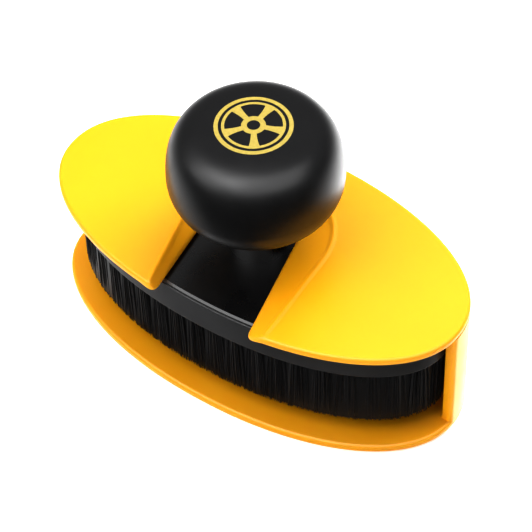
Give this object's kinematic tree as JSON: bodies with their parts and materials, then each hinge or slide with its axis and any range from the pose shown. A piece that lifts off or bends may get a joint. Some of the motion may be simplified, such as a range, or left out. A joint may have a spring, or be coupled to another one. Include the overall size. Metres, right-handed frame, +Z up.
{
  "type": "wheel brush",
  "caption": "Oval block brush with dense trimmed bristles and a round palm knob on a neck, stored in an oval case with a slotted lid and an open front.",
  "frame": {"origin": "centre of the case's flat underside", "axes": "+X along the case's length, -Y out of the case's open front, +Z up through the knob"},
  "size_m": [0.155, 0.0782, 0.0988],
  "materials": {
    "case_plastic": "injection moulded, satin gloss, warm yellow",
    "knob_plastic": "injection moulded, soft satin gloss, black",
    "cover_plastic": "injection moulded, glossy, black",
    "block_plastic": "injection moulded, satin, charcoal black",
    "bristle": "fine nylon filament, dense and level trimmed, black",
    "fixing_steel": "zinc plated steel",
    "nut_brass": "turned brass"
  },
  "bodies": {
    "case": {"case_tray": "case_plastic", "case_lid": "case_plastic"},
    "brush": {"knob_cap": "knob_plastic", "knob_base": "knob_plastic", "knob_nut": "nut_brass", "knob_bolt": "fixing_steel", "bolt_washer": "fixing_steel", "head_cover": "cover_plastic", "brush_block": "block_plastic", "cover_screws": "fixing_steel", "tufts_outer": "bristle", "tufts_second": "bristle", "tufts_third": "bristle", "tufts_inner": "bristle", "tufts_centre": "bristle", "anchors_outer": "fixing_steel", "anchors_second": "fixing_steel", "anchors_third": "fixing_steel", "anchors_inner": "fixing_steel", "anchors_centre": "fixing_steel"}
  },
  "joints": [
    {"name": "brush_slide", "type": "slide", "parent": "case", "child": "brush", "axis": [0, -1, 0], "range_m": [0, 0.08]}
  ]
}
